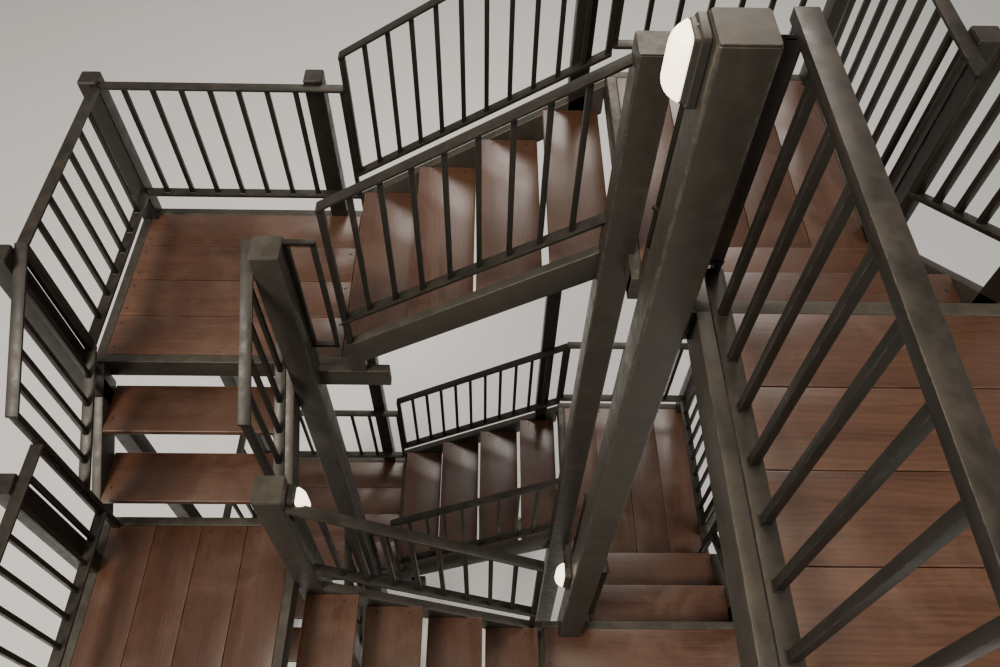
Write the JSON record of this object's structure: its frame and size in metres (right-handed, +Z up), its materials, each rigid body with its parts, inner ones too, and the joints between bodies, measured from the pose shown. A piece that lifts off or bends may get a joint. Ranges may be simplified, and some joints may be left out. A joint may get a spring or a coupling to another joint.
{
  "type": "fire escape stair",
  "caption": "Square open-well stair of painted steel with timber treads and landings, baluster railings, well columns, outer posts and wall lamps.",
  "frame": {"origin": "centre of the stair's plan, at the level of the floor that its base plates stand on", "axes": "+Z up; +X to the right and +Y away from the viewer of the picture, who looks down from over the near side"},
  "size_m": [3.656, 3.213, 6.996],
  "materials": {
    "frame_steel": "worn satin paint",
    "rail_steel": "worn satin paint",
    "timber": "scuffed satin varnish",
    "lamp_metal": "satin paint",
    "lamp_glass": "lit opal"
  },
  "bodies": {
    "root": {"well_columns": "frame_steel", "outer_posts": "frame_steel", "base_plates": "frame_steel", "lower_landing_frames": "frame_steel", "upper_landing_frames": "frame_steel", "lower_landing_decks": "timber", "upper_landing_decks": "timber", "flight_1_treads": "timber", "flight_2_treads": "timber", "flight_3_treads": "timber", "flight_4_treads": "timber", "flight_5_treads": "timber", "flight_6_treads": "timber", "flight_7_treads": "timber", "flight_8_treads": "timber", "flight_1_stringers": "frame_steel", "flight_2_stringers": "frame_steel", "flight_3_stringers": "frame_steel", "flight_4_stringers": "frame_steel", "flight_5_stringers": "frame_steel", "flight_6_stringers": "frame_steel", "flight_7_stringers": "frame_steel", "flight_8_stringers": "frame_steel", "flight_1_railings": "rail_steel", "flight_2_railings": "rail_steel", "flight_3_railings": "rail_steel", "flight_4_railings": "rail_steel", "flight_5_railings": "rail_steel", "flight_6_railings": "rail_steel", "flight_7_railings": "rail_steel", "flight_8_railings": "rail_steel", "landing_1_railings": "rail_steel", "landing_2_railings": "rail_steel", "landing_3_railings": "rail_steel", "landing_4_railings": "rail_steel", "landing_5_railings": "rail_steel", "landing_6_railings": "rail_steel", "landing_7_railings": "rail_steel", "top_landing_railings": "rail_steel", "lamp_bodies": "lamp_metal", "lamp_covers": "lamp_glass"}
  },
  "joints": []
}
